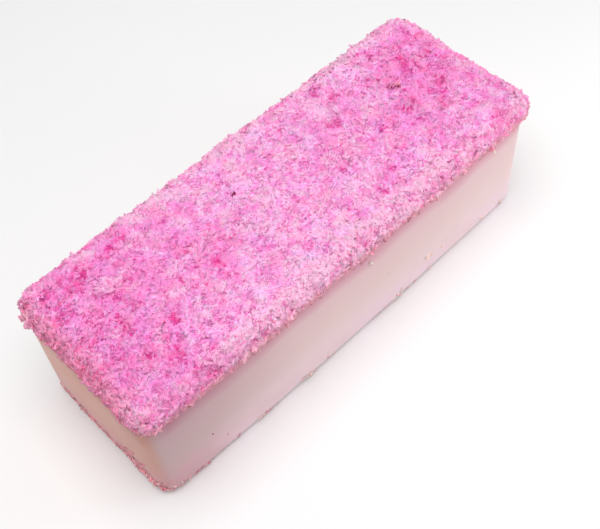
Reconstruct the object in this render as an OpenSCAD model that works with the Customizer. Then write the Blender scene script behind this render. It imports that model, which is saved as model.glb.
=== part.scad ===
// A long bar of hand-poured soap: a white block, a thin pink pour on it, and a thick bed of
// grated pink soap crumbs that is stuck to the pour and stands a little over its sides.
// Millimetres. The bar lies along X, its long sides face Y, and it rests on Z = 0.

/* [Block] */
// Length of the poured block
block_length = 225; // [150:1:300]
// Width of the poured block
block_width = 80; // [60:1:110]
// Height of the white soap
white_height = 55; // [35:0.5:75]
// Plan radius of the upright corners
corner_radius = 8; // [5:0.5:14]
// Rounding of the edges at the base
base_rounding = 5; // [3:0.5:7]
// How far each long side swells at its middle, as the soft mould lets it
side_swell = 1.2; // [0:0.1:2.5]

/* [Pink pour] */
// Thickness of the clear pink soap that glues the crumbs down
pour_thickness = 3.5; // [2:0.5:6]

/* [Crumb bed] */
// Thickness of the crumb bed, from the pour to its mean top
bed_thickness = 11.5; // [9:0.5:18]
// How far the bed stands out over the long sides and the right end
overhang = 1.6; // [0.8:0.1:4]
// How far it stands out over the left end, where it is rubbed off
rubbed_overhang = 0.5; // [0:0.1:4]
// Radius of the bed's rounded shoulders
shoulder_radius = 7.5; // [4:0.5:8.5]
// Plan radius of the bed's crumbled corner, at the back left
worn_corner = 10; // [8:0.5:20]

/* [Crumbs] */
// Distance between points of the crumb surface
crumb_step = 2.3; // [2.1:0.1:4]
// Size of one crumb
crumb_size = 5.0; // [3:0.1:8]
// How much longer than round a crumb is, as grated flakes are
crumb_stretch = 1.3; // [1:0.05:1.6]
// Height of a crumb over the next
crumb_relief = 1.5; // [0.6:0.1:2.5]
// Tilt of a crumb's flat, as a slope
crumb_tilt = 0.25; // [0:0.05:0.6]
// Height of the broad lumps in the bed
lump_height = 0.7; // [0:0.1:2]
// Width of the broad lumps
lump_size = 17; // [10:1:30]
// Choice of the random pattern
pattern_seed = 7; // [1:1:99]

/* [Hidden] */

half_length = block_length / 2;
half_width = block_width / 2;
pour_top = white_height + pour_thickness;
bed_top = pour_top + bed_thickness;

// Points round one upright corner, along a long side and along an end
corner_steps = 6;
side_steps = 14;
end_steps = 4;
rounding_steps = 5;

// The bed's section: a shoulder arc from the flat top to the widest point, then a flank
// that curls in a little to the pour
rim_angle = 45;
flank_height = bed_thickness - shoulder_radius;
foot_share = 0.35;
rim_inset = shoulder_radius * (1 - cos(rim_angle));
curl = overhang * (1 - foot_share);
// Each row of the flank: how far out from the rim, how high over the pour, and the share of
// the crumb relief that it takes
flank_rows = [
    [rim_inset - shoulder_radius * (1 - cos(rim_angle / 2)),
     flank_height + shoulder_radius * sin(rim_angle / 2), 1],
    [rim_inset, flank_height, 1],
    [rim_inset - curl / 2, flank_height / 2, 0.8],
    [rim_inset - curl, 0, 0.3]
];

// Random numbers that stay the same from one build to the next
RANDOM_COUNT = 4099;
heights = rands(-1, 1, RANDOM_COUNT, pattern_seed);
slopes_x = rands(-1, 1, RANDOM_COUNT, pattern_seed + 100);
slopes_y = rands(-1, 1, RANDOM_COUNT, pattern_seed + 200);
shifts_x = rands(-1, 1, RANDOM_COUNT, pattern_seed + 300);
shifts_y = rands(-1, 1, RANDOM_COUNT, pattern_seed + 400);

function pick(list, i, j) =
    let(k = (i * 157 + j * 1021) % RANDOM_COUNT)
    list[k < 0 ? k + RANDOM_COUNT : k];

function ease(t) = t * t * (3 - 2 * t);
function mix(a, b, t) = a + (b - a) * t;

// Broad lumps: random heights on a square lattice with smooth slopes between them
function lumps(x, y) =
    let(i = floor(x / lump_size), j = floor(y / lump_size),
        u = ease(x / lump_size - i), v = ease(y / lump_size - j))
    lump_height * mix(
        mix(pick(heights, i, j), pick(heights, i + 1, j), u),
        mix(pick(heights, i, j + 1), pick(heights, i + 1, j + 1), u), v);

// The seed of the crumb in lattice cell i, j, moved off the cell's middle
function seed(i, j) = crumb_size
    * [i + 0.5 + 0.42 * pick(shifts_x, i, j), j + 0.5 + 0.42 * pick(shifts_y, i, j)];

// How far a point is from the crumb in lattice cell c, counted shorter along that crumb
function from_crumb(x, y, c) =
    let(off = [x, y] - seed(c[0], c[1]), a = 180 * pick(heights, c[0] + 53, c[1] + 71))
    norm([(off[0] * cos(a) + off[1] * sin(a)) / crumb_stretch,
          (off[1] * cos(a) - off[0] * sin(a)) * crumb_stretch]);

// Crumbs: the surface follows the crumb that is nearest, a tilted long flake that falls away
// to the gap between it and the next
function crumbs(x, y) =
    let(i = floor(x / crumb_size), j = floor(y / crumb_size),
        cells = [for (a = [-1:1], b = [-1:1]) [i + a, j + b]],
        away = [for (c = cells) from_crumb(x, y, c)],
        nearest = min(away),
        near = cells[search(nearest, away)[0]],
        off = [x, y] - seed(near[0], near[1]))
    crumb_relief * (0.35 + 0.5 * pick(heights, near[0] + 31, near[1] + 17)
                    - 1.2 * pow(nearest / crumb_size, 2))
        + crumb_tilt * (off[0] * pick(slopes_x, near[0], near[1])
                      + off[1] * pick(slopes_y, near[0], near[1]));

// Outward swell of a long side at place x
function swell(x) = side_swell * max(0, 1 - pow(x / half_length, 2));

// A plan point: the corner's centre, the direction out of it and the corner's radius
function out_point(centre, direction, radius, outset) =
    let(p = centre + direction * (radius + outset))
    [p[0], p[1] + sign(direction[1]) * abs(direction[1]) * swell(p[0])];

// Where the sides and corners of the block's plan run, as [centre, direction] pairs
block_core = [half_length - corner_radius, half_width - corner_radius];
block_plan = [
    for (q = [[1, -1], [1, 1], [-1, 1], [-1, -1]])
        let(turn = q[0] > 0 ? (q[1] < 0 ? -90 : 0) : (q[1] > 0 ? 90 : 180),
            centre = [q[0] * block_core[0], q[1] * block_core[1]],
            along_end = q[0] * q[1] < 0,
            next = along_end ? [centre[0], -centre[1]] : [-centre[0], centre[1]],
            steps = along_end ? end_steps : side_steps)
        each concat(
            [for (k = [0:corner_steps])
                let(a = turn + 90 * k / corner_steps) [centre, [cos(a), sin(a)]]],
            [for (k = [1:steps - 1])
                let(a = turn + 90) [centre + (next - centre) * k / steps, [cos(a), sin(a)]]])
];

function block_ring(outset, z) = [
    for (p = block_plan) let(q = out_point(p[0], p[1], corner_radius, outset)) [q[0], q[1], z]
];

// A closed solid through rings of equal length, from the lowest up
module loft(rings) {
    count = len(rings[0]);
    last = len(rings) - 1;
    polyhedron(
        points = [for (r = rings) each r],
        faces = concat(
            [[for (k = [0:count - 1]) k]],
            [for (r = [0:last - 1], k = [0:count - 1])
                let(n = (k + 1) % count, a = r * count, b = a + count)
                each [[a + k, b + k, b + n], [a + k, b + n, a + n]]],
            [[for (k = [count - 1:-1:0]) last * count + k]]));
}

module white_block() {
    color([0.93, 0.89, 0.85])
    loft(concat(
        [for (k = [0:rounding_steps])
            let(a = 90 * k / rounding_steps)
            block_ring(-base_rounding * (1 - sin(a)), base_rounding * (1 - cos(a)))],
        [block_ring(0, white_height)]));
}

module pink_pour() {
    color([0.96, 0.62, 0.80])
    loft([block_ring(0, white_height), block_ring(0, pour_top)]);
}

// The top of the crumb bed is a grid over its rim, and its flanks are rows round the rim
grid_left = half_length + rubbed_overhang - rim_inset;
grid_right = half_length + overhang - rim_inset;
grid_side = half_width + overhang - rim_inset;
columns = ceil((grid_left + grid_right) / crumb_step);
rows = ceil(2 * grid_side / crumb_step);

function bed_corner(x, y) = x < 0 && y > 0 ? worn_corner : corner_radius;

// The corner centre and the vector from it, for a point of the grid's square plan
function from_core(x, y) =
    let(radius = bed_corner(x, y),
        core = [half_length - radius, half_width - radius],
        centre = [max(-core[0], min(core[0], x)), max(-core[1], min(core[1], y))])
    [centre, [x, y] - centre, radius];

// A grid point, with the grid's square corners drawn in to the rim's round ones
function round_in(x, y) =
    let(f = from_core(x, y), v = f[1], length = norm(v))
    length < 0.001 ? [x, y] : f[0] + v / length * max(abs(v[0]), abs(v[1]));

// How far a grid point lies inside the rim
function inside(x, y) = min(grid_left + x, grid_right - x, grid_side - abs(y));

function grid_x(i) = mix(-grid_left, grid_right, i / columns);
function grid_y(j) = grid_side * (2 * j / rows - 1);

function top_point(i, j) =
    let(x = grid_x(i), y = grid_y(j),
        f = from_core(x, y)[1],
        crowded = min(abs(f[0]), abs(f[1])) > 0,
        edge = i == 0 || j == 0 || i == columns || j == rows,
        stray = edge || crowded ? 0 : 0.2 * crumb_step,
        p = round_in(x, y),
        q = p + stray * [pick(shifts_x, i, j), pick(shifts_y, i, j)],
        down = max(0, shoulder_radius - rim_inset - inside(x, y)),
        lean = down / shoulder_radius,
        rise = sqrt(1 - lean * lean),
        away = norm(f) < 0.001 ? [0, 0] : f / norm(f),
        grow = crumbs(q[0], q[1]) + lumps(q[0], q[1]))
    [q[0] + away[0] * lean * grow,
     q[1] + away[1] * lean * grow + sign(y) * abs(away[1]) * swell(q[0]),
     bed_top - shoulder_radius * (1 - rise) + rise * grow];

// The rim's grid places in order, anticlockwise from above
rim = concat(
    [for (i = [0:columns - 1]) [i, 0]],
    [for (j = [0:rows - 1]) [columns, j]],
    [for (i = [columns:-1:1]) [i, rows]],
    [for (j = [rows:-1:1]) [0, j]]);

// A flank point below rim place k, for a row of the flank
function flank_point(k, row) =
    let(x = grid_x(rim[k][0]), y = grid_y(rim[k][1]),
        f = from_core(x, y),
        away = f[1] / norm(f[1]),
        rim_outset = max(abs(f[1][0]), abs(f[1][1])) - f[2],
        depth = bed_thickness - row[1],
        grow = row[2] * (crumbs(x + away[0] * depth, y + away[1] * depth) + lumps(x, y)),
        foot = row[1] == 0,
        outset = max(foot ? 0.2 : -overhang, rim_outset + row[0] + grow),
        q = out_point(f[0], away, f[2], outset))
    [q[0], q[1], pour_top + row[1]
        + (foot ? 0 : 0.12 * crumb_step * pick(slopes_x, k, round(row[1])))];

module crumb_bed() {
    across = columns + 1;
    top_count = across * (rows + 1);
    round_count = len(rim);
    top_face = function (i, j)
        let(a = j * across + i, b = a + 1, c = a + across, d = c + 1)
        pick(slopes_y, i, j) > 0 ? [[a, c, b], [b, c, d]] : [[a, d, b], [a, c, d]];
    row_point = function (r, k)
        let(n = k % round_count)
        r < 0 ? rim[n][1] * across + rim[n][0] : top_count + r * round_count + n;
    last = len(flank_rows) - 1;
    color([0.97, 0.55, 0.80])
    polyhedron(
        points = concat(
            [for (j = [0:rows], i = [0:columns]) top_point(i, j)],
            [for (row = flank_rows, k = [0:round_count - 1]) flank_point(k, row)]),
        faces = concat(
            [for (j = [0:rows - 1], i = [0:columns - 1]) each top_face(i, j)],
            [for (r = [-1:last - 1], k = [0:round_count - 1])
                let(a = row_point(r, k), b = row_point(r, k + 1),
                    c = row_point(r + 1, k), d = row_point(r + 1, k + 1))
                each [[a, b, c], [b, d, c]]],
            [[for (k = [0:round_count - 1]) row_point(last, k)]]));
}

white_block();
pink_pour();
crumb_bed();
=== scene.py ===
"""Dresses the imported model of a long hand-poured soap bar.

The bar is a white block with a thin pink pour on top and a thick bed of grated pink soap.
The block is cast again here with its soft edges and uneven skin, the bed keeps its solid and
is covered with thousands of curled shreds, and stray shreds sit along the block's base.
Lengths are metres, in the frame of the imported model.
"""

import math

import bmesh
import bpy
import numpy as np
from bpy.props import FloatProperty, FloatVectorProperty, IntProperty, PointerProperty
from mathutils import Matrix, Vector, noise


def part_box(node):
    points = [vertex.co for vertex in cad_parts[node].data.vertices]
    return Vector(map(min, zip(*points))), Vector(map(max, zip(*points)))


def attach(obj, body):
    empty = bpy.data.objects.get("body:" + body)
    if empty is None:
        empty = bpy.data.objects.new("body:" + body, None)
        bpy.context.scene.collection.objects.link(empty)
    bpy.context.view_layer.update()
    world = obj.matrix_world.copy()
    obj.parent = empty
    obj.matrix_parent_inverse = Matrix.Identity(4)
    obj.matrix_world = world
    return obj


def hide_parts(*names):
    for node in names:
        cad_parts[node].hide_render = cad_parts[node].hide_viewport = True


bl_info = {
    "name": "Poured Soap Bar",
    "version": (1, 0, 0),
    "blender": (4, 5, 0),
    "location": "View3D > Sidebar > Soap",
    "description": "Casts a soap block, beds it with grated shreds and sets up its stage",
    "category": "Object",
}

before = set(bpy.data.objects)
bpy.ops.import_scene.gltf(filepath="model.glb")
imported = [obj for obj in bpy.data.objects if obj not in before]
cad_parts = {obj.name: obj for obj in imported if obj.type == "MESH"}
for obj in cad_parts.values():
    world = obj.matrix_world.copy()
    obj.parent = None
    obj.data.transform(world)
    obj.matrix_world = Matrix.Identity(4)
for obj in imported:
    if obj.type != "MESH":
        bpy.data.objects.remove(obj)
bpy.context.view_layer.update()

MM = 0.001
BLOCK_LOW, BLOCK_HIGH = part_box("white_block")
POUR_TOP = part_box("pink_pour")[1].z
BED_LOW, BED_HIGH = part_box("crumb_bed")

# Painted shade: where the soap is darkest, near the left end
DARKEST_X = -108 * MM

# Tints that multiply the colour of the crumbs: painted shade on low-lying shreds between the
# others, warm patches, painted shade as dark flecks in creases and as a painted shadow along
# the foot of the bed, and painted shade towards the left end
BETWEEN_SHADE_TINT = (0.95, 0.69, 0.86)
WARM_TINT = (1.0, 1.02, 0.88)
CREASE_SHADE_TINT = (0.52, 0.26, 0.41)
LEFT_SHADE_TINT = (0.95, 0.92, 0.945)

# How unevenly dye has bled: scale and detail of each noise, and how much it counts. Shreds of
# high tone took up less of it, and so did those near the rim; low-lying shreds get a low tone,
# so part of this is painted shade
DYE_GRAIN = ((130.0, 3.0, 1.3), (330.0, 2.0, 0.6), (900.0, 2.0, 0.3))
TONE_COUNTS = -0.6
RIM_COUNTS = 0.34

# Shreds were stained before they settled, about this far from where they lie
STAIN_DRIFT = 0.9 * MM

# Shreds that stand loose: their share, and how far they are lifted
LOOSE_SHARE = 0.04
LOOSE_LIFT = 0.4 * MM

# The chip's ridges: which of the shapes, its size, the way they run in degrees, and how far
# they lie over the solid bed
RIDGE_SHAPE = 4
RIDGE_SIZE = 0.55
RIDGE_ANGLE = 15
RIDGE_LIFT = 0.7 * MM

# The floor: its size, how far it lies under the bar, and where it fades to white
FLOOR_SIZE = 2.4
FLOOR_DROP = 0.02 * MM
HAZE_FROM, HAZE_TO = 0.35, 1.1

# The lamps' places and sizes and what they aim at, and the camera's place and its azimuth,
# elevation and roll in degrees
KEY_PLACE, KEY_SIZE = (-0.12, -0.07, 0.88), 0.8
SIDE_PLACE, SIDE_SIZE = (0.30, -0.26, 0.10), 0.18
LAMP_AIM = (0, 0, 0.03)
CAMERA_PLACE = (-0.16391, -0.20657, 0.38858)
CAMERA_ANGLES = (-39.0, 54.735, 6.218)


def length_setting(name, description, default):
    return FloatProperty(name=name, description=description, default=default,
                         min=0, unit="LENGTH", precision=5)


def colour_setting(name, description, default):
    return FloatVectorProperty(name=name, description=description, default=default,
                               size=3, min=0, max=1, subtype="COLOR")


class SoapBlockSettings(bpy.types.PropertyGroup):
    corner_radius: length_setting("Corner radius", "Radius of the upright corners", 8 * MM)
    base_rounding: length_setting("Base rounding", "Rounding of the base edges", 5 * MM)
    side_swell: length_setting("Side swell", "How far each long side swells", 1.2 * MM)
    skin_step: length_setting("Skin step", "Distance between points of the skin", 1.3 * MM)
    wave_height: length_setting("Wave height", "Height of the slow waves", 0.35 * MM)
    ripple_height: length_setting("Ripple height", "Height of the fine waves", 0.07 * MM)
    white: colour_setting("White", "Colour of the white soap", (0.88, 0.67, 0.655))
    # Painted shade: the white darkened towards the left end
    left_shade: colour_setting("Left Shade", "Its colour towards the left end", (0.62, 0.435, 0.44))
    cream: colour_setting("Cream", "Colour of the left end", (0.79, 0.39, 0.305))
    # Olive tint, with painted shade, under the overhanging crumbs at the left end
    olive: colour_setting("Olive", "Tint under the crumbs at that end", (0.84, 0.72, 0.58))
    lilac: colour_setting("Lilac", "Colour along the base", (1.0, 0.74, 0.84))
    blush: colour_setting("Blush", "Colour low at the left end", (0.74, 0.35, 0.425))
    pink: colour_setting("Pink", "Tint of the pour under the crumbs", (0.86, 0.45, 0.66))


class CrumbSettings(bpy.types.PropertyGroup):
    shreds: IntProperty(name="Shreds", description="Shreds on the bed", default=38000, min=1)
    rim_shreds: IntProperty(name="Rim shreds", description="Shreds that hang over the pour",
                            default=350, min=1)
    stray_shreds: IntProperty(name="Stray shreds", description="Shreds caught in the base",
                              default=1000, min=1)
    size: FloatProperty(name="Shred size", description="Size of the shreds", default=1,
                        min=0.2, max=3)
    seed: IntProperty(name="Seed", description="Choice of the random pattern", default=11)
    pale: colour_setting("Pale", "Colour of the palest shreds", (0.955, 0.555, 0.87))
    middle: colour_setting("Middle", "Colour of most shreds", (0.935, 0.35, 0.755))
    deep: colour_setting("Deep", "Colour where dye has bled", (0.84, 0.097, 0.44))
    rim: colour_setting("Rim", "Colour low on the rim", (0.88, 0.44, 0.55))
    # Painted shade: the bed's colours darkened where it shows in the gaps
    gap: colour_setting("Gap Shade", "How much of each colour is left in the gaps",
                        (0.80, 0.55, 0.68))
    stray: colour_setting("Stray", "Colour of the strays on the block", (0.90, 0.49, 0.58))
    stray_pale: colour_setting("Stray pale", "Colour of the palest strays",
                               (1.0, 0.77, 0.82))
    stray_deep: colour_setting("Stray deep", "Colour of the darkest strays",
                               (0.72, 0.27, 0.38))
    chip: colour_setting("Chip", "Colour of the rosy chip", (0.95, 0.33, 0.42))
    chip_deep: colour_setting("Chip deep", "Colour of its darkest ridges", (0.30, 0.03, 0.10))


class StageSettings(bpy.types.PropertyGroup):
    floor: colour_setting("Floor", "Colour that the floor shows", (0.93, 0.93, 0.93))
    bounce: colour_setting("Bounce", "Colour with which it lights the bar", (0.78, 0.78, 0.78))
    sky: FloatProperty(name="Sky", description="Strength of the world's light", default=0.44,
                       min=0, max=2)
    key: FloatProperty(name="Key", description="Power of the high lamp, in W", default=5.6,
                       min=0)
    side: FloatProperty(name="Side", description="Power of the low lamp at the right, in W",
                        default=0.32, min=0)
    lens: FloatProperty(name="Lens", description="Focal length of the camera", default=59.12,
                        min=1, unit="CAMERA")


# Meshes: selecting, bevelling and finishing pieces

def deselect_all():
    if bpy.context.object and bpy.context.object.mode != "OBJECT":
        bpy.ops.object.mode_set(mode="OBJECT")
    bpy.ops.object.select_all(action="DESELECT")


def take_up(piece):
    """Make a piece the one that operators work on."""
    deselect_all()
    piece.select_set(True)
    bpy.context.view_layer.objects.active = piece


def apply_modifier(piece, kind, **settings):
    take_up(piece)
    modifier = piece.modifiers.new(kind.title(), kind)
    for name, value in settings.items():
        setattr(modifier, name, value)
    bpy.ops.object.modifier_apply(modifier=modifier.name)


def bevel_edges(piece, chosen, radius, segments):
    """Round the edges whose two ends pass the test."""
    take_up(piece)
    bpy.ops.object.mode_set(mode="EDIT")
    bpy.ops.mesh.select_mode(type="EDGE")
    bpy.ops.mesh.select_all(action="DESELECT")
    shape = bmesh.from_edit_mesh(piece.data)
    for edge in shape.edges:
        edge.select_set(chosen(edge.verts[0].co, edge.verts[1].co))
    bmesh.update_edit_mesh(piece.data)
    bpy.ops.mesh.bevel(offset=radius, segments=segments, affect="EDGES")
    bpy.ops.object.mode_set(mode="OBJECT")


def seat(piece, slot, material, *nodes):
    """Give a finished piece its material and the body that it rides on. The slot is not used."""
    piece.data.materials.clear()
    piece.data.materials.append(material)
    if nodes:
        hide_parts(*nodes)
    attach(piece, "root")


def ease(low, high, value):
    """0 below low, 1 above high, and a smooth rise between them."""
    share = min(1, max(0, (value - low) / (high - low)))
    return share * share * (3 - 2 * share)


# Materials: a node is added with its settings and with values or links for its sockets

def add_node(tree, kind, settings=None, **sockets):
    """A socket is given by its name, or as _0, _1 and so on by its number."""
    node = tree.nodes.new(kind)
    for name, value in (settings or {}).items():
        setattr(node, name, value)
    for name, value in sockets.items():
        socket = node.inputs[int(name[1:])] if name[1:].isdigit() else node.inputs[name]
        if isinstance(value, bpy.types.NodeSocket):
            tree.links.new(value, socket)
        else:
            socket.default_value = value
    return node


def mix_colour(tree, share, first, second, blend="MIX"):
    node = add_node(tree, "ShaderNodeMix", {"data_type": "RGBA", "blend_type": blend},
                    _0=share, _6=first, _7=second)
    return node.outputs[2]


def tinted(tree, share, colour, tint):
    """A colour multiplied by a tint, as far as the share says."""
    return mix_colour(tree, share, colour, opaque(tint), "MULTIPLY")


def calculate(tree, operation, first, second=0.0, clamp=False):
    node = add_node(tree, "ShaderNodeMath", {"operation": operation, "use_clamp": clamp},
                    _0=first, _1=second)
    return node.outputs[0]


def ramp(tree, value, low, high, to_low=0.0, to_high=1.0):
    """Goes smoothly from to_low to to_high while the value goes from low to high."""
    node = add_node(tree, "ShaderNodeMapRange", {"interpolation_type": "SMOOTHSTEP"},
                    _0=value, _1=low, _2=high, _3=to_low, _4=to_high)
    return node.outputs[0]


def noise_value(tree, place, scale, detail=2.0, roughness=0.5):
    node = add_node(tree, "ShaderNodeTexNoise", None, Vector=place, Scale=scale, Detail=detail,
                    Roughness=roughness)
    return node.outputs[0]


def opaque(colour):
    return (*colour, 1.0)


def new_group(name, inputs, outputs):
    """A shader node group with its sockets made, and its two end nodes."""
    tree = bpy.data.node_groups.new(name, "ShaderNodeTree")
    for label, kind, value in inputs:
        socket = tree.interface.new_socket(label, in_out="INPUT", socket_type=kind)
        socket.default_value = value
    for label, kind in outputs:
        tree.interface.new_socket(label, in_out="OUTPUT", socket_type=kind)
    return tree, tree.nodes.new("NodeGroupInput"), tree.nodes.new("NodeGroupOutput")


def waxy_skin_group():
    """Fine unevenness of a soap surface, and where it is duller."""
    tree, given, result = new_group(
        "Waxy Skin",
        [("Grain", "NodeSocketFloat", 900.0), ("Dullness", "NodeSocketFloat", 0.5)],
        [("Height", "NodeSocketFloat"), ("Roughness", "NodeSocketFloat")])
    place = add_node(tree, "ShaderNodeTexCoord").outputs["Object"]
    fine = noise_value(tree, place, given.outputs["Grain"], 3.0, 0.6)
    broad = noise_value(tree, place, calculate(tree, "MULTIPLY", given.outputs["Grain"], 0.12))
    height = calculate(tree, "ADD", fine, calculate(tree, "MULTIPLY", broad, 2.0))
    patches = noise_value(tree, place, 60.0, 3.0)
    uneven = calculate(tree, "MULTIPLY", calculate(tree, "SUBTRACT", patches, 0.5), 0.35)
    dull = calculate(tree, "ADD", given.outputs["Dullness"], uneven, clamp=True)
    tree.links.new(height, result.inputs["Height"])
    tree.links.new(dull, result.inputs["Roughness"])
    return tree


def dye_depth(tree, given, place, z, near_rim):
    """How deep the dye is: more in its patches and for shreds of low tone, less near the rim.
    The low tone of low-lying shreds and the extra depth in hollows are painted shade.
    """
    depth = given.outputs["Dye"]
    grains = [(noise_value(tree, place, scale, detail), weight)
              for scale, detail, weight in DYE_GRAIN]
    # The tone counts as well; low-lying shreds have a low tone, so part of this is painted shade
    for value, weight in (*grains, (given.outputs["Tone"], TONE_COUNTS)):
        part = calculate(tree, "SUBTRACT", value, 0.5)
        depth = calculate(tree, "ADD", depth, calculate(tree, "MULTIPLY", part, weight))
    for share in near_rim:
        paler = calculate(tree, "MULTIPLY", share, RIM_COUNTS)
        depth = calculate(tree, "SUBTRACT", depth, paler)
    # Painted shade: deeper colour in the hollows of the top, a little paler on its bumps
    hollow_shade = ramp(tree, z, BED_LOW.z + 12.4 * MM, BED_LOW.z + 10.2 * MM, -0.06, 0.20)
    return calculate(tree, "ADD", depth, hollow_shade)


def low_share(tree, z):
    """How low on the rim a crumb lies, and 0 for the strays far below the bed."""
    return calculate(tree, "MULTIPLY",
                     ramp(tree, z, BED_LOW.z + 8 * MM, BED_LOW.z + 1 * MM, 0.0, 0.85),
                     ramp(tree, z, BED_LOW.z - 6 * MM, BED_LOW.z - 4 * MM))


def warm_share(tree, place, near_rim, rubbed):
    """Warm patches, most of all along the rim and at the rubbed left end."""
    patches = ramp(tree, noise_value(tree, place, 100.0, 4.0, 0.75), 0.35, 0.65)
    outer = calculate(tree, "MAXIMUM", *near_rim)
    outer = calculate(tree, "MAXIMUM", outer, calculate(tree, "MULTIPLY", rubbed, 1.6))
    return calculate(tree, "ADD", patches, calculate(tree, "MULTIPLY", outer, 0.9))


def dark_share(tree, place, z):
    """Painted shade: dark flecks that stand in for creases in the crumbs, and a painted shadow
    along the foot of the bed.
    """
    crease_shade = calculate(tree, "MULTIPLY",
                      ramp(tree, noise_value(tree, place, 1900.0, 0.0), 0.67, 0.72),
                      ramp(tree, noise_value(tree, place, 170.0, 2.0), 0.46, 0.58))
    # Painted shadow along the foot of the bed
    foot = calculate(tree, "MULTIPLY",
                     ramp(tree, z, BED_LOW.z + 1.5 * MM, BED_LOW.z + 0.2 * MM, 0.0, 0.5),
                     ramp(tree, z, BED_LOW.z - 2 * MM, BED_LOW.z - 1 * MM))
    return calculate(tree, "MAXIMUM", crease_shade, foot)


def crumb_colour_group():
    """Colour of grated soap. Dye has bled through it in soft patches, each shred has a tone
    of its own, and the bed is paler towards its rim. Painted shade darkens the shreds lying low
    between others, the hollows and creases, the foot of the bed and the left end."""
    tree, given, result = new_group(
        "Crumb Colour",
        [("Pale", "NodeSocketColor", (1, 1, 1, 1)), ("Middle", "NodeSocketColor", (1, 1, 1, 1)),
         ("Deep", "NodeSocketColor", (1, 1, 1, 1)), ("Rim", "NodeSocketColor", (1, 1, 1, 1)),
         ("Tone", "NodeSocketFloat", 0.5), ("Dye", "NodeSocketFloat", 0.0)],
        [("Color", "NodeSocketColor")])
    place = add_node(tree, "ShaderNodeTexCoord").outputs["Object"]
    x, y, z = add_node(tree, "ShaderNodeSeparateXYZ", None, Vector=place).outputs
    near_rim = [ramp(tree, along, reach - 12 * MM, reach - 2 * MM) for along, reach in
                ((x, BED_HIGH.x), (calculate(tree, "ABSOLUTE", y), BED_HIGH.y))]
    depth = dye_depth(tree, given, place, z, near_rim)
    pale = mix_colour(tree, ramp(tree, depth, 0.05, -0.45), given.outputs["Middle"],
                      given.outputs["Pale"])
    colour = mix_colour(tree, ramp(tree, depth, 0.05, 0.80), pale, given.outputs["Deep"])
    # Painted shade: shreds of low tone, those lying low between the others, are darkened
    colour = tinted(tree, ramp(tree, given.outputs["Tone"], 0.4, -0.1), colour, BETWEEN_SHADE_TINT)
    rubbed = ramp(tree, x, BED_LOW.x + 11 * MM, BED_LOW.x, 0.0, 0.45)
    colour = mix_colour(tree, calculate(tree, "MAXIMUM", low_share(tree, z), rubbed), colour,
                        given.outputs["Rim"])
    colour = tinted(tree, warm_share(tree, place, near_rim, rubbed), colour, WARM_TINT)
    # Painted shade in creases, and a painted shadow along the foot of the bed
    colour = tinted(tree, dark_share(tree, place, z), colour, CREASE_SHADE_TINT)
    # Painted shade, darker towards the left end
    colour = tinted(tree, ramp(tree, x, BED_LOW.x + 60 * MM, BED_LOW.x), colour, LEFT_SHADE_TINT)
    tree.links.new(colour, result.inputs["Color"])
    return tree


def shared_group(name, build):
    return bpy.data.node_groups.get(name) or build()


def new_material(name):
    material = bpy.data.materials.new(name)
    material.use_nodes = True
    shader = material.node_tree.nodes["Principled BSDF"]
    return material, material.node_tree, shader


def make_waxy(tree, shader, grain, dullness, depth, strength):
    """Link the waxy skin's bump and roughness to a material's shader."""
    skin = add_node(tree, "ShaderNodeGroup",
                    {"node_tree": shared_group("Waxy Skin", waxy_skin_group)},
                    Grain=grain, Dullness=dullness)
    bump = add_node(tree, "ShaderNodeBump", None, Strength=strength, Distance=depth,
                    Height=skin.outputs["Height"])
    tree.links.new(skin.outputs["Roughness"], shader.inputs["Roughness"])
    tree.links.new(bump.outputs["Normal"], shader.inputs["Normal"])


def side_colour(tree, colours, x, level, patches):
    """White, with painted shade darkening it towards the left end, and blushing low down in
    patches.
    """
    side = mix_colour(tree, ramp(tree, x, -20 * MM, DARKEST_X), opaque(colours.white),
                      opaque(colours.left_shade))
    near_base = ramp(tree, level, 34 * MM, 2 * MM)
    low = mix_colour(tree, ramp(tree, x, -60 * MM, DARKEST_X), opaque(colours.lilac),
                     opaque(colours.blush))
    return mix_colour(tree, calculate(tree, "MULTIPLY", near_base, patches), side, low)


def end_colour(tree, colours, y, level, patches, under_bed):
    """The left end: cream, with painted shade darker to the front corner, and olive with painted
    shade under the crumbs.
    """
    corner = ramp(tree, y, 5 * MM, BLOCK_LOW.y, 1.0, 0.84)
    shade = add_node(tree, "ShaderNodeCombineColor", None, Red=corner, Green=corner,
                     Blue=corner).outputs[0]
    shaded = mix_colour(tree, 1.0, opaque(colours.cream), shade, "MULTIPLY")
    low = calculate(tree, "MULTIPLY", ramp(tree, level, 32 * MM, 2 * MM), patches)
    end = mix_colour(tree, low, shaded, opaque(colours.blush))
    # Painted shade under the crumbs, with an olive tint
    return tinted(tree, under_bed, end, colours.olive)


def speck_share(tree, place):
    """A few small specks in the soap."""
    specks = add_node(tree, "ShaderNodeTexVoronoi", None, Vector=place, Scale=190.0)
    chance = add_node(tree, "ShaderNodeSeparateColor", None,
                      Color=specks.outputs["Color"]).outputs[0]
    speck = calculate(tree, "MULTIPLY", ramp(tree, specks.outputs["Distance"], 0.16, 0.08),
                      ramp(tree, chance, 0.93, 0.96))
    return calculate(tree, "MULTIPLY", speck, 0.6)


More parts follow.
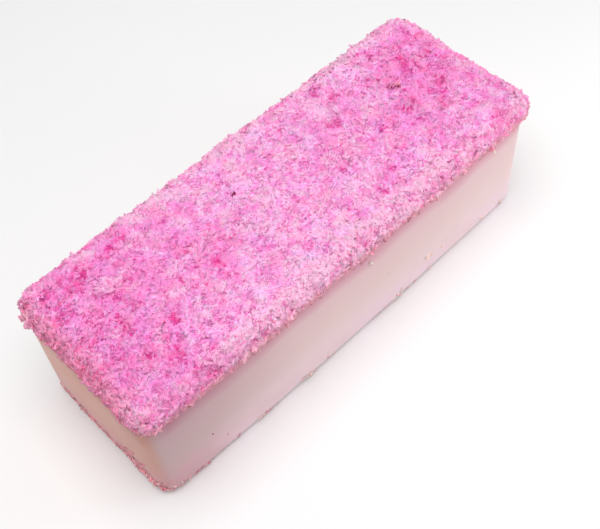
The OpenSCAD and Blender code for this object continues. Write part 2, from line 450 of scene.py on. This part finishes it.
def poured_soap_material(colours):
    """White soap, cream at the left end, pink under the crumbs and blushing at the base."""
    material, tree, shader = new_material("poured_soap")
    place = add_node(tree, "ShaderNodeTexCoord").outputs["Object"]
    x, y, z = add_node(tree, "ShaderNodeSeparateXYZ", None, Vector=place).outputs
    cloud = noise_value(tree, place, 28.0, 3.0)
    wander = calculate(tree, "MULTIPLY", calculate(tree, "SUBTRACT", cloud, 0.5), 12 * MM)
    level = calculate(tree, "ADD", z, wander)
    patches = ramp(tree, noise_value(tree, place, 55.0, 3.0), 0.35, 0.65, 0.5, 1.0)
    under_bed = ramp(tree, level, POUR_TOP - 17 * MM, POUR_TOP)
    at_end = ramp(tree, x, BLOCK_LOW.x + 6 * MM, BLOCK_LOW.x + 1 * MM)
    body = mix_colour(tree, at_end, side_colour(tree, colours, x, level, patches),
                      end_colour(tree, colours, y, level, patches, under_bed))
    pinker = ramp(tree, x, BLOCK_LOW.x + 1 * MM, BLOCK_LOW.x + 12 * MM, 0.3, 1.0)
    faint = ramp(tree, level, POUR_TOP - 40 * MM, POUR_TOP - 6 * MM, 0.0, 0.25)
    haze = calculate(tree, "MULTIPLY", calculate(tree, "MAXIMUM", faint, under_bed), pinker)
    colour = tinted(tree, haze, body, colours.pink)
    colour = mix_colour(tree, speck_share(tree, place), colour, opaque(colours.blush))
    tree.links.new(colour, shader.inputs["Base Color"])
    shader.inputs["Subsurface Weight"].default_value = 0.35
    shader.inputs["Subsurface Radius"].default_value = (1.0, 0.7, 0.6)
    shader.inputs["Subsurface Scale"].default_value = 3 * MM
    shader.inputs["IOR"].default_value = 1.45
    shader.inputs["Coat Weight"].default_value = 0.15
    shader.inputs["Coat Roughness"].default_value = 0.25
    make_waxy(tree, shader, grain=700.0, dullness=0.42, depth=0.12 * MM, strength=0.35)
    return material


def crumb_material(name, pale, middle, deep, rim, strewn=True):
    """Grated soap. Strewn shreds bring their tone and dye in their mesh."""
    material, tree, shader = new_material(name)
    own = {}
    if strewn:
        for label, attribute in (("Tone", "tone"), ("Dye", "dye")):
            own[label] = add_node(tree, "ShaderNodeAttribute",
                                  {"attribute_name": attribute}).outputs["Fac"]
    colour = add_node(tree, "ShaderNodeGroup",
                      {"node_tree": shared_group("Crumb Colour", crumb_colour_group)},
                      Pale=opaque(pale), Middle=opaque(middle), Deep=opaque(deep),
                      Rim=opaque(rim), **own)
    tree.links.new(colour.outputs["Color"], shader.inputs["Base Color"])
    shader.subsurface_method = "BURLEY"
    shader.inputs["Subsurface Weight"].default_value = 0.55
    shader.inputs["Subsurface Radius"].default_value = (1.6, 0.5, 0.7)
    shader.inputs["Subsurface Scale"].default_value = 0.7 * MM
    shader.inputs["Specular IOR Level"].default_value = 0.05
    make_waxy(tree, shader, grain=2200.0, dullness=0.55, depth=0.05 * MM, strength=0.3)
    return material


# Shreds: a few are modelled in millimetres, and the bed is strewn with copies

# Length, width, thickness, bend in degrees, narrowing of the ends
SHRED_SHAPES = [
    (3.6, 2.1, 0.22, 25, 0.40),
    (2.8, 1.7, 0.25, -20, 0.45),
    (3.6, 1.1, 0.22, 40, 0.20),
    (2.2, 1.4, 0.28, 12, 0.50),
    (4.4, 0.8, 0.20, 55, 0.15),
    (2.0, 0.8, 0.25, -30, 0.30),
]

# Where dye has bled: place along and across the bed, radius, and strength. Broad faint
# patches come first, and a few of them are paler than the rest
DYE_SPOTS = [
    (-98, 22, 17, 0.38), (-90, -20, 20, 0.30), (-106, -14, 15, 0.18), (-50, 14, 22, 0.16),
    (-30, -17, 16, 0.20), (32, -24, 12, 0.08), (64, -14, 14, 0.18), (46, 18, 20, 0.22),
    (82, 6, 20, 0.40), (98, 22, 15, 0.22), (-10, 1, 24, -0.17), (-30, -36, 24, -0.30),
    (16, -38, 24, -0.20), (62, -40, 22, -0.18), (-33, 39, 20, -0.30), (8, 40, 16, -0.18),
    (62, 42, 34, -0.36), (62, 8, 9, -0.34), (-108, -37, 13, -0.26), (-111, 34, 9, -0.40),
    (108, -32, 14, -0.12),
    (-101, 29, 4, 0.45), (-82, 8, 2, 0.70), (-69, 32, 2.5, 0.50), (-74, -15, 1.6, 1.30),
    (-106, -35, 1.6, 1.00), (-59, -2, 1.8, 1.10), (-45, -7, 2.2, 0.85), (-13, -27, 2, 1.25),
    (24, -10, 2.2, 0.90), (27, -30, 2, 1.70), (40, -24, 2.2, 0.80), (41, 10, 2.2, 1.10),
    (53, 24, 2.4, 0.95), (79, 31, 3, 0.70),
]

# Clumps of strays on the block: place, reach along X, Y and Z, and share
STRAY_CLUMPS = [
    ((-112, -24, 3), (4, 12, 6.0), 6.0), ((-112, 12, 3), (5, 24, 3.5), 3.0),
    ((-57, -40, 2), (4, 4, 2.5), 0.6), ((-30, -41, 3), (5, 4, 2.5), 0.6),
    ((-92, -40, 2), (12, 4, 2), 0.5), ((40, -41, 2), (60, 4, 1.5), 0.10),
    ((22, -41, 2), (14, 4, 2), 0.45),
    ((0, 41, 2), (110, 5, 1.5), 0.12), ((111, 0, 2), (5, 40, 1.5), 0.25),
]

# A dark bit on the bed, and a crinkled rosy chip, both made of short ridges: place along and
# across, and tone
CHIP_RIDGES = [
    (-16.8, 14.3, -1.0), (-16.8, 13.8, -0.8), (-16.9, 13.3, -1.0),
    (73.0, 9.4, -0.9), (73.5, 8.0, -0.3), (74.2, 6.8, -1.1), (75.2, 6.0, -0.9),
    (76.2, 5.6, -0.2), (74.8, 8.8, 0.4), (75.8, 7.6, 0.4), (76.8, 6.6, 0.4),
    (76.2, 9.0, 0.5), (74.0, 5.2, -0.5), (77.6, 7.8, 0.5), (72.8, 6.4, -0.1),
]

# Single strays stuck on the sides: place, tone from dark to pale, and size
LONE_STRAYS = [
    ((-84, -41, 23), -0.8, 0.55), ((-78, -41, 13), 0.2, 0.5), ((46, -41, 16), 1.6, 1.3),
    ((57, -41, 12), 1.6, 1.2), ((-55, -41, 55), 1.4, 0.9), ((8, -41, 49), 1.5, 1.2),
    ((-57, -40, 4), 0.0, 1.3), ((-30, -40, 4), 1.4, 1.3), ((88, -40, 54), 1.6, 1.4),
    ((85, -41, 8), 1.6, 1.2), ((92, -41, 13), 1.5, 0.8), ((60, -41, 14), 1.6, 0.9),
    ((49, -41, 13), 1.6, 0.9), ((28, -41, 7), 1.5, 0.8), ((101, -40, 5), 1.3, 1.0),
    ((20, -41, 30), 1.0, 0.4), ((-60, 41, 18), 0.3, 0.6), ((15, 41, 30), 1.2, 0.6),
    ((72, 41, 10), 0.0, 0.7), ((112, 12, 22), 0.5, 0.6), ((112, -20, 40), 1.2, 0.6),
]


def cut_shred(length, width, thickness, bend, narrowing, seed):
    """One curled shred, as its corner places in millimetres and its faces."""
    deselect_all()
    bpy.ops.mesh.primitive_cube_add(size=1, scale=(length, width, thickness))
    bpy.ops.object.transform_apply(location=True, rotation=True, scale=True)
    shred = bpy.context.object
    bpy.ops.object.mode_set(mode="EDIT")
    bpy.ops.mesh.select_all(action="SELECT")
    bpy.ops.mesh.bisect(plane_co=(0, 0, 0), plane_no=(1, 0, 0))
    for side in (-1, 1):
        bpy.ops.mesh.select_all(action="DESELECT")
        shape = bmesh.from_edit_mesh(shred.data)
        for face in shape.faces:
            face.select_set(face.normal.x * side > 0.9)
        bmesh.update_edit_mesh(shred.data)
        bpy.ops.transform.resize(value=(1, narrowing, narrowing))
    bpy.ops.mesh.select_all(action="SELECT")
    bpy.ops.transform.vertex_random(offset=0.22 * width, seed=seed)
    bpy.ops.object.mode_set(mode="OBJECT")
    apply_modifier(shred, "SIMPLE_DEFORM", deform_method="BEND", deform_axis="Y",
                   angle=math.radians(bend))
    corners = np.array([vertex.co for vertex in shred.data.vertices])
    corners -= corners.mean(axis=0)
    faces = [list(polygon.vertices) for polygon in shred.data.polygons]
    bpy.data.objects.remove(shred)
    return corners, faces


def cut_shreds():
    """Every shape of shred, each bent and roughened in its own way."""
    return [cut_shred(*shape, seed) for seed, shape in enumerate(SHRED_SHAPES)]


def unit(vectors):
    return vectors / np.linalg.norm(vectors, axis=1)[:, None]


def bled_dye(points):
    """How much dye has bled to each point, from the spots and patches of it."""
    dye = np.zeros(len(points))
    for x, y, radius, strength in DYE_SPOTS:
        away = np.hypot(points[:, 0] - x * MM, points[:, 1] - y * MM) / (radius * MM)
        dye += strength * np.exp(-away ** 2)
    return dye


def new_mesh(name, points, loops, starts):
    """A mesh from its corners, the corners of its faces in a row, and where each face starts."""
    mesh = bpy.data.meshes.new(name)
    mesh.vertices.add(len(points))
    mesh.vertices.foreach_set("co", points.ravel())
    mesh.loops.add(len(loops))
    mesh.loops.foreach_set("vertex_index", loops.astype(np.int32))
    mesh.polygons.add(len(starts))
    mesh.polygons.foreach_set("loop_start", starts.astype(np.int32))
    mesh.update(calc_edges=True)
    return mesh


def strew(name, shapes, places, turns, sizes, tones, chances):
    """One mesh with a turned and sized copy of a shred at each place, none of them under the
    base. Each shred's tone and the dye that has bled to it are kept in the mesh."""
    kinds = chances.integers(0, len(shapes), len(places))
    drift = chances.normal(0, STAIN_DRIFT, (len(places), 3))
    points, loops, starts, tone_list, stained = [], [], [], [], []
    point_count = loop_count = 0
    for kind, (corners, faces) in enumerate(shapes):
        chosen = np.flatnonzero(kinds == kind)
        turned = np.einsum("nij,kj->nki", turns[chosen], corners) * MM
        placed = turned * sizes[chosen, None, None] + places[chosen, None, :]
        points.append(placed.reshape(-1, 3))
        stained.append((placed + drift[chosen, None, :]).reshape(-1, 3))
        tone_list.append(np.repeat(tones[chosen], len(corners)))
        flat = np.concatenate([np.array(face) for face in faces])
        first = point_count + np.arange(len(chosen)) * len(corners)
        loops.append((first[:, None] + flat[None, :]).ravel())
        face_sizes = np.array([len(face) for face in faces])
        face_starts = np.cumsum(face_sizes) - face_sizes
        first_loop = loop_count + np.arange(len(chosen)) * len(flat)
        starts.append((first_loop[:, None] + face_starts[None, :]).ravel())
        point_count += len(chosen) * len(corners)
        loop_count += len(chosen) * len(flat)
    points, loops, starts = (np.concatenate(part) for part in (points, loops, starts))
    points[:, 2] = np.maximum(points[:, 2], 0)
    mesh = new_mesh(name, points, loops, starts)
    for label, values in (("tone", np.concatenate(tone_list)),
                          ("dye", bled_dye(np.concatenate(stained)))):
        mesh.attributes.new(label, "FLOAT", "POINT").data.foreach_set(
            "value", values.astype(np.float32))
    mesh.validate()
    piece = bpy.data.objects.new(name, mesh)
    bpy.context.scene.collection.objects.link(piece)
    return piece


def lying_turns(normals, tilt, chances):
    """Turns that lay shreds on a surface: any way round, and tilted by some degrees."""
    count = len(normals)
    lean = chances.normal(0, 1, (count, 3)) * np.tan(np.radians(np.reshape(tilt, (-1, 1))))
    up = unit(normals + lean)
    way = chances.normal(0, 1, (count, 3))
    along = unit(way - (way * up).sum(axis=1)[:, None] * up)
    return np.stack([along, np.cross(up, along), up], axis=2)


def skin_of(piece):
    """Corners, normals, areas and middles of a piece's triangles."""
    mesh = piece.data
    points = np.empty(len(mesh.vertices) * 3)
    mesh.vertices.foreach_get("co", points)
    mesh.calc_loop_triangles()
    corners = np.empty(len(mesh.loop_triangles) * 3, dtype=np.int32)
    mesh.loop_triangles.foreach_get("vertices", corners)
    triangles = points.reshape(-1, 3)[corners.reshape(-1, 3)]
    normals = np.cross(triangles[:, 1] - triangles[:, 0], triangles[:, 2] - triangles[:, 0])
    areas = np.linalg.norm(normals, axis=1) / 2
    normals /= 2 * areas[:, None] + 1e-20
    return triangles, normals, areas, triangles.mean(axis=1)


def points_on(triangles, normals, weights, count, chances):
    """Places on a skin, and the normals there. Heavy triangles get more of them."""
    picked = chances.choice(len(triangles), count, p=weights / weights.sum())
    a, b = chances.random((2, count))
    over = a + b > 1
    a[over], b[over] = 1 - a[over], 1 - b[over]
    corner = triangles[picked]
    places = (corner[:, 0] + a[:, None] * (corner[:, 1] - corner[:, 0])
              + b[:, None] * (corner[:, 2] - corner[:, 0]))
    return places, normals[picked]


class SOAP_OT_cast_block(bpy.types.Operator):
    """Cast the white block and the pink pour on it as one softly worn solid"""

    bl_idname = "soap.cast_block"
    bl_label = "Cast the block"

    def execute(self, context):
        shape = context.scene.soap_block
        length = BLOCK_HIGH.x - BLOCK_LOW.x
        width = BLOCK_HIGH.y - BLOCK_LOW.y - 2 * shape.side_swell
        deselect_all()
        bpy.ops.mesh.primitive_cube_add(size=1, location=(0, 0, POUR_TOP / 2),
                                        scale=(length, width, POUR_TOP))
        bpy.ops.object.transform_apply(location=True, rotation=True, scale=True)
        block = context.object
        block.name = "cast_block"
        near = 0.01 * MM
        bevel_edges(block, lambda a, b: (a - b).xy.length < near, shape.corner_radius, 8)
        bevel_edges(block, lambda a, b: a.z < near and b.z < near, shape.base_rounding, 6)
        apply_modifier(block, "REMESH", mode="VOXEL", voxel_size=shape.skin_step)
        apply_modifier(block, "SMOOTH", factor=0.5, iterations=4)
        self.wear(block, shape, length / 2, width / 2)
        take_up(block)
        bpy.ops.object.shade_smooth()
        seat(block, "white_soap", poured_soap_material(shape), "white_block", "pink_pour")
        return {"FINISHED"}

    def wear(self, block, shape, half_length, half_width):
        """Swell the long sides, and push the skin in and out where it isn't the flat base."""
        normals = [vertex.normal.copy() for vertex in block.data.vertices]
        for vertex, normal in zip(block.data.vertices, normals):
            place = vertex.co
            off_base = ease(0.3 * MM, 5 * MM, place.z)
            wave = noise.noise(place / (34 * MM)) * shape.wave_height
            ripple = noise.noise(place / (7 * MM)) * shape.ripple_height
            swell = shape.side_swell * max(0, 1 - (place.x / half_length) ** 2)
            vertex.co = place + normal * off_base * (wave + ripple)
            vertex.co.y += swell * place.y / half_width


class SOAP_OT_dress_bed(bpy.types.Operator):
    """Give the solid crumb bed, which shows in the gaps, the crumbs' colours darkened as painted
    shade
    """

    bl_idname = "soap.dress_bed"
    bl_label = "Dress the crumb bed"

    def execute(self, context):
        crumbs = context.scene.soap_crumbs
        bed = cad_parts["crumb_bed"]
        # Painted shade: the crumbs' colours darkened for the gaps
        shaded = [[part * left for part, left in zip(colour, crumbs.gap)]
                  for colour in (crumbs.pale, crumbs.middle, crumbs.deep, crumbs.rim)]
        bed.data.materials.clear()
        bed.data.materials.append(crumb_material("shaded_packed_crumbs", *shaded, strewn=False))
        return {"FINISHED"}


class SOAP_OT_strew_shreds(bpy.types.Operator):
    """Strew the bed with shreds, in five pieces from the left end to the right"""

    bl_idname = "soap.strew_shreds"
    bl_label = "Strew the shreds"

    def execute(self, context):
        crumbs = context.scene.soap_crumbs
        chances = np.random.default_rng(crumbs.seed)
        shapes = cut_shreds()
        material = crumb_material("grated_soap", crumbs.pale, crumbs.middle, crumbs.deep,
                                  crumbs.rim)
        triangles, facing, areas, middles = skin_of(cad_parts["crumb_bed"])
        open_skin = areas * np.clip(middles[:, 2] / MM - BED_LOW.z / MM - 1.2, 0, 1)
        places, normals = points_on(triangles, facing, open_skin, crumbs.shreds, chances)
        parts = np.array_split(np.argsort(places[:, 0]), 5)
        outward, sunk = self.shoulder(places)
        rough = np.array([noise.noise(Vector(place) / (8 * MM)) for place in places])
        rough = np.clip(0.5 + 1.2 * rough, 0, 1)
        for number, chosen in enumerate(parts, 1):
            count = len(chosen)
            # Shreds lie at chance heights, and part of each dip in the bed is filled
            raised = chances.uniform(-0.2, 0.2, count)
            lift = raised * MM + 0.45 * sunk[chosen]
            flatness = outward[chosen, 2] ** 2
            loose = chances.random(count) < LOOSE_SHARE
            lift += LOOSE_LIFT * loose
            # They lie flattest on the flank and where the bed is smooth
            tilt = np.where(loose, 40 - 18 * flatness, 4 + 11 * rough[chosen] * flatness)
            turns = lying_turns(outward[chosen] + 0.6 * normals[chosen] * flatness[:, None],
                                tilt, chances)
            # Where it is rough they are smaller, and more mixed in tone
            sizes = chances.uniform(0.5, 1.15, count) * (1.15 - 0.3 * rough[chosen])
            # Shreds lying lower or sunk in a dip get a lower tone, painted shade that darkens
            # them; the rest of the tone is chance
            tones = chances.normal(0.5 + 1.7 * raised - 0.25 * sunk[chosen] / MM,
                                   0.08 + 0.2 * rough[chosen])
            piece = strew(f"shreds_{number}", shapes,
                          places[chosen] + outward[chosen] * lift[:, None], turns,
                          sizes * crumbs.size, np.clip(tones, -0.3, 1.2), chances)
            seat(piece, "soap_crumbs", material)
        return {"FINISHED"}

    def shoulder(self, places):
        """The way out of the bed at each place, and how far it lies under the mean skin."""
        radius = 7.5 * MM
        ragged_low = 1.2 * MM
        ragged_high = 1.5 * MM
        low = np.array(BED_LOW) + radius + ragged_low
        high = np.array(BED_HIGH) - radius - ragged_high
        low[2], high[2] = 0, BED_LOW.z + 4 * MM
        out = places - np.clip(places, low, high)
        reach = np.linalg.norm(out, axis=1)
        return out / reach[:, None], np.clip(radius - reach, 0, 2 * MM)


class SOAP_OT_scatter_strays(bpy.types.Operator):
    """Hang shreds over the pour, catch strays on the block and lay the chip on the bed"""

    bl_idname = "soap.scatter_strays"
    bl_label = "Scatter stray shreds"

    def execute(self, context):
        crumbs = context.scene.soap_crumbs
        chances = np.random.default_rng(crumbs.seed + 1)
        shapes = cut_shreds()
        stained = crumb_material("stray_soap", crumbs.stray_pale, crumbs.stray,
                                 crumbs.stray_deep, crumbs.stray)
        skin = skin_of(bpy.data.objects["cast_block"])
        for name, weights, count, tone, material in (
                ("rim_shreds", self.rim_weights(skin), crumbs.rim_shreds, 0.5,
                 bpy.data.materials["grated_soap"]),
                ("base_strays", self.clump_weights(skin), crumbs.stray_shreds, 0.55, stained)):
            self.lay(name, shapes, points_on(*skin[:2], weights, count, chances),
                     chances.normal(tone, 0.35, count), chances.uniform(0.5, 1.0, count),
                     material, chances)
        nearest = [np.argmin(np.linalg.norm(skin[3] - np.array(stray[0]) * MM, axis=1))
                   for stray in LONE_STRAYS]
        tones, sizes = (np.array([stray[part] for stray in LONE_STRAYS]) for part in (1, 2))
        self.lay("lone_strays", shapes, (skin[3][nearest], skin[1][nearest]), tones, sizes,
                 stained, chances)
        self.lay_chip(shapes, crumbs, chances)
        return {"FINISHED"}

    def lay_chip(self, shapes, crumbs, chances):
        """Ridges of the chip and the dark bit, side by side on top of the shreds."""
        material = crumb_material("rosy_soap", crumbs.chip, crumbs.chip, crumbs.chip_deep,
                                  crumbs.chip)
        middles = skin_of(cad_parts["crumb_bed"])[3]
        ridges = np.array(CHIP_RIDGES)
        count = len(ridges)
        nearest = [np.argmin(np.hypot(middles[:, 0] - x * MM, middles[:, 1] - y * MM)
                             - middles[:, 2]) for x, y, _ in CHIP_RIDGES]
        places = np.column_stack([ridges[:, 0] * MM, ridges[:, 1] * MM,
                                  middles[nearest, 2] + RIDGE_LIFT])
        up = lying_turns(np.tile((0.0, 0.0, 1.0), (count, 1)), 6, chances)[:, :, 2]
        angle = math.radians(RIDGE_ANGLE)
        across = unit(np.cross(up, np.array((math.cos(angle), math.sin(angle), 0))))
        turns = np.stack([np.cross(across, up), across, up], axis=2)
        piece = strew("rosy_chip", [shapes[RIDGE_SHAPE]], places, turns,
                      np.full(count, RIDGE_SIZE), ridges[:, 2], chances)
        seat(piece, "soap_crumbs", material)

    def rim_weights(self, skin):
        """More shreds near the top of the pour, in uneven clumps."""
        middles = skin[3]
        below = (POUR_TOP - middles[:, 2]) / (1.8 * MM)
        clumps = np.array([noise.noise(Vector(middle) / (9 * MM)) for middle in middles])
        return skin[2] * np.exp(-below ** 2) * np.clip(clumps + 0.25, 0, 1) * (below > 0.1)

    def clump_weights(self, skin):
        """Dense where crumbs were caught along the base, with a few all round it."""
        middles = skin[3]
        weights = np.zeros(len(middles))
        for place, reach, share in STRAY_CLUMPS:
            away = (middles - np.array(place) * MM) / (np.array(reach) * MM)
            weights += share * np.exp(-(away ** 2).sum(axis=1))
        return skin[2] * weights * (middles[:, 2] > 0.5 * MM)

    def lay(self, name, shapes, spots, tones, sizes, material, chances):
        """Shreds that lie close on the skin, half sunk in it."""
        places, normals = spots
        lift = chances.uniform(-0.05, 0.20, len(places)) * MM
        piece = strew(name, shapes, places + normals * lift[:, None],
                      lying_turns(normals, 9, chances), sizes, tones, chances)
        seat(piece, "soap_crumbs", material)


class SOAP_OT_set_stage(bpy.types.Operator):
    """Set up the floor, the soft lights and the camera"""

    bl_idname = "soap.set_stage"
    bl_label = "Set the stage"

    def execute(self, context):
        stage = context.scene.soap_stage
        self.lay_floor(stage)
        self.light_world(stage)
        self.add_lamp("key_lamp", KEY_PLACE, KEY_SIZE, stage.key)
        self.add_lamp("side_lamp", SIDE_PLACE, SIDE_SIZE, stage.side)
        self.place_camera(stage)
        return {"FINISHED"}

    def lay_floor(self, stage):
        """A matt floor that fades to white far out, where the camera sees it."""
        deselect_all()
        bpy.ops.mesh.primitive_plane_add(size=FLOOR_SIZE, location=(0, 0, -FLOOR_DROP))
        floor = bpy.context.object
        floor.name = "floor"
        material, tree, shader = new_material("pale_floor")
        path = add_node(tree, "ShaderNodeLightPath")
        colour = mix_colour(tree, path.outputs["Is Camera Ray"], opaque(stage.bounce),
                            opaque(stage.floor))
        tree.links.new(colour, shader.inputs["Base Color"])
        place = add_node(tree, "ShaderNodeTexCoord").outputs["Object"]
        away = add_node(tree, "ShaderNodeVectorMath", {"operation": "LENGTH"}, _0=place)
        haze = calculate(tree, "MULTIPLY", path.outputs["Is Camera Ray"],
                         ramp(tree, away.outputs["Value"], HAZE_FROM, HAZE_TO))
        tree.links.new(haze, shader.inputs["Emission Color"])
        shader.inputs["Emission Strength"].default_value = 1
        shader.inputs["Roughness"].default_value = 0.9
        shader.inputs["Specular IOR Level"].default_value = 0.1
        floor.data.materials.append(material)

    def light_world(self, stage):
        """An even sky, shown as white to the camera and in reflections."""
        world = bpy.data.worlds.new("studio")
        bpy.context.scene.world = world
        world.use_nodes = True
        tree = world.node_tree
        path = add_node(tree, "ShaderNodeLightPath")
        seen = calculate(tree, "ADD", path.outputs["Is Camera Ray"],
                         path.outputs["Is Glossy Ray"])
        seen = calculate(tree, "ADD", seen, path.outputs["Is Transmission Ray"], clamp=True)
        strength = add_node(tree, "ShaderNodeMapRange", None, _0=seen, _3=stage.sky, _4=1.0)
        sky = tree.nodes["Background"]
        sky.inputs["Color"].default_value = (1, 1, 1, 1)
        tree.links.new(strength.outputs[0], sky.inputs["Strength"])

    def add_lamp(self, name, place, size, power):
        deselect_all()
        bpy.ops.object.light_add(type="AREA", location=place)
        lamp = bpy.context.object
        lamp.name = name
        lamp.data.shape = "DISK"
        lamp.data.size = size
        lamp.data.energy = power
        lamp.visible_camera = False
        aim = Vector(LAMP_AIM) - Vector(place)
        lamp.rotation_euler = aim.to_track_quat("-Z", "Y").to_euler()

    def place_camera(self, stage):
        """The camera looks down at the front corner, and is turned a little on its axis."""
        azimuth, elevation, roll = (math.radians(angle) for angle in CAMERA_ANGLES)
        toward = Vector((-math.sin(azimuth) * math.cos(elevation),
                         math.cos(azimuth) * math.cos(elevation), -math.sin(elevation)))
        turn = toward.to_track_quat("-Z", "Y").to_matrix() @ Matrix.Rotation(-roll, 3, "Z")
        bpy.ops.object.camera_add(location=CAMERA_PLACE, rotation=turn.to_euler())
        camera = bpy.context.object
        camera.name = "camera"
        camera.data.lens = stage.lens
        camera.data.sensor_width = 36
        bpy.context.scene.camera = camera
        bpy.context.scene.view_settings.view_transform = "Standard"


class SOAP_PT_panel(bpy.types.Panel):
    bl_idname = "SOAP_PT_panel"
    bl_label = "Poured soap bar"
    bl_space_type = "VIEW_3D"
    bl_region_type = "UI"
    bl_category = "Soap"

    def draw(self, context):
        for settings in (context.scene.soap_block, context.scene.soap_crumbs,
                         context.scene.soap_stage):
            box = self.layout.box()
            for name in settings.__annotations__:
                box.prop(settings, name)
        for operator in OPERATORS:
            self.layout.operator(operator.bl_idname)


SETTINGS = (SoapBlockSettings, CrumbSettings, StageSettings)
OPERATORS = (SOAP_OT_cast_block, SOAP_OT_dress_bed, SOAP_OT_strew_shreds,
             SOAP_OT_scatter_strays, SOAP_OT_set_stage)


def register():
    for kind in (*SETTINGS, *OPERATORS, SOAP_PT_panel):
        bpy.utils.register_class(kind)
    bpy.types.Scene.soap_block = PointerProperty(type=SoapBlockSettings)
    bpy.types.Scene.soap_crumbs = PointerProperty(type=CrumbSettings)
    bpy.types.Scene.soap_stage = PointerProperty(type=StageSettings)


def unregister():
    del bpy.types.Scene.soap_stage
    del bpy.types.Scene.soap_crumbs
    del bpy.types.Scene.soap_block
    for kind in reversed((*SETTINGS, *OPERATORS, SOAP_PT_panel)):
        bpy.utils.unregister_class(kind)


def main():
    register()
    bpy.ops.soap.cast_block()
    bpy.ops.soap.dress_bed()
    bpy.ops.soap.strew_shreds()
    bpy.ops.soap.scatter_strays()
    bpy.ops.soap.set_stage()


if __name__ == "__main__":
    main()
